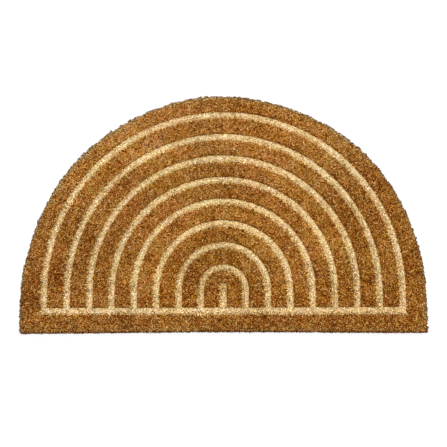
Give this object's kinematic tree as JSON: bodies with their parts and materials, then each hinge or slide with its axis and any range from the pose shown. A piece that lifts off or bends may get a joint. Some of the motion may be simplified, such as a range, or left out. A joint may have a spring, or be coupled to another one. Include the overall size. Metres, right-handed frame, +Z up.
{
  "type": "half-round coir doormat",
  "caption": "Flat half-round coir doormat with concentric cream arches on a base bar, sunk a little into brown pile; lies on the floor to scrape shoes.",
  "frame": {"origin": "middle of the underside's bounding rectangle, on the floor", "axes": "+X along the straight front edge to the right, +Y from the front edge to the top of the arches, +Z up out of the pile"},
  "size_m": [0.7544, 0.4502, 0.015],
  "materials": {
    "coir_brown": "natural brown coir pile, matt and bristly, speckled with golden and reddish fibres",
    "coir_cream": "bleached cream coir pile, matt and bristly",
    "coir_base": "matted coir base under the pile, dull brown, pressed flat underneath"
  },
  "bodies": {
    "root": {"coir_mat": "coir_brown"}
  },
  "joints": []
}
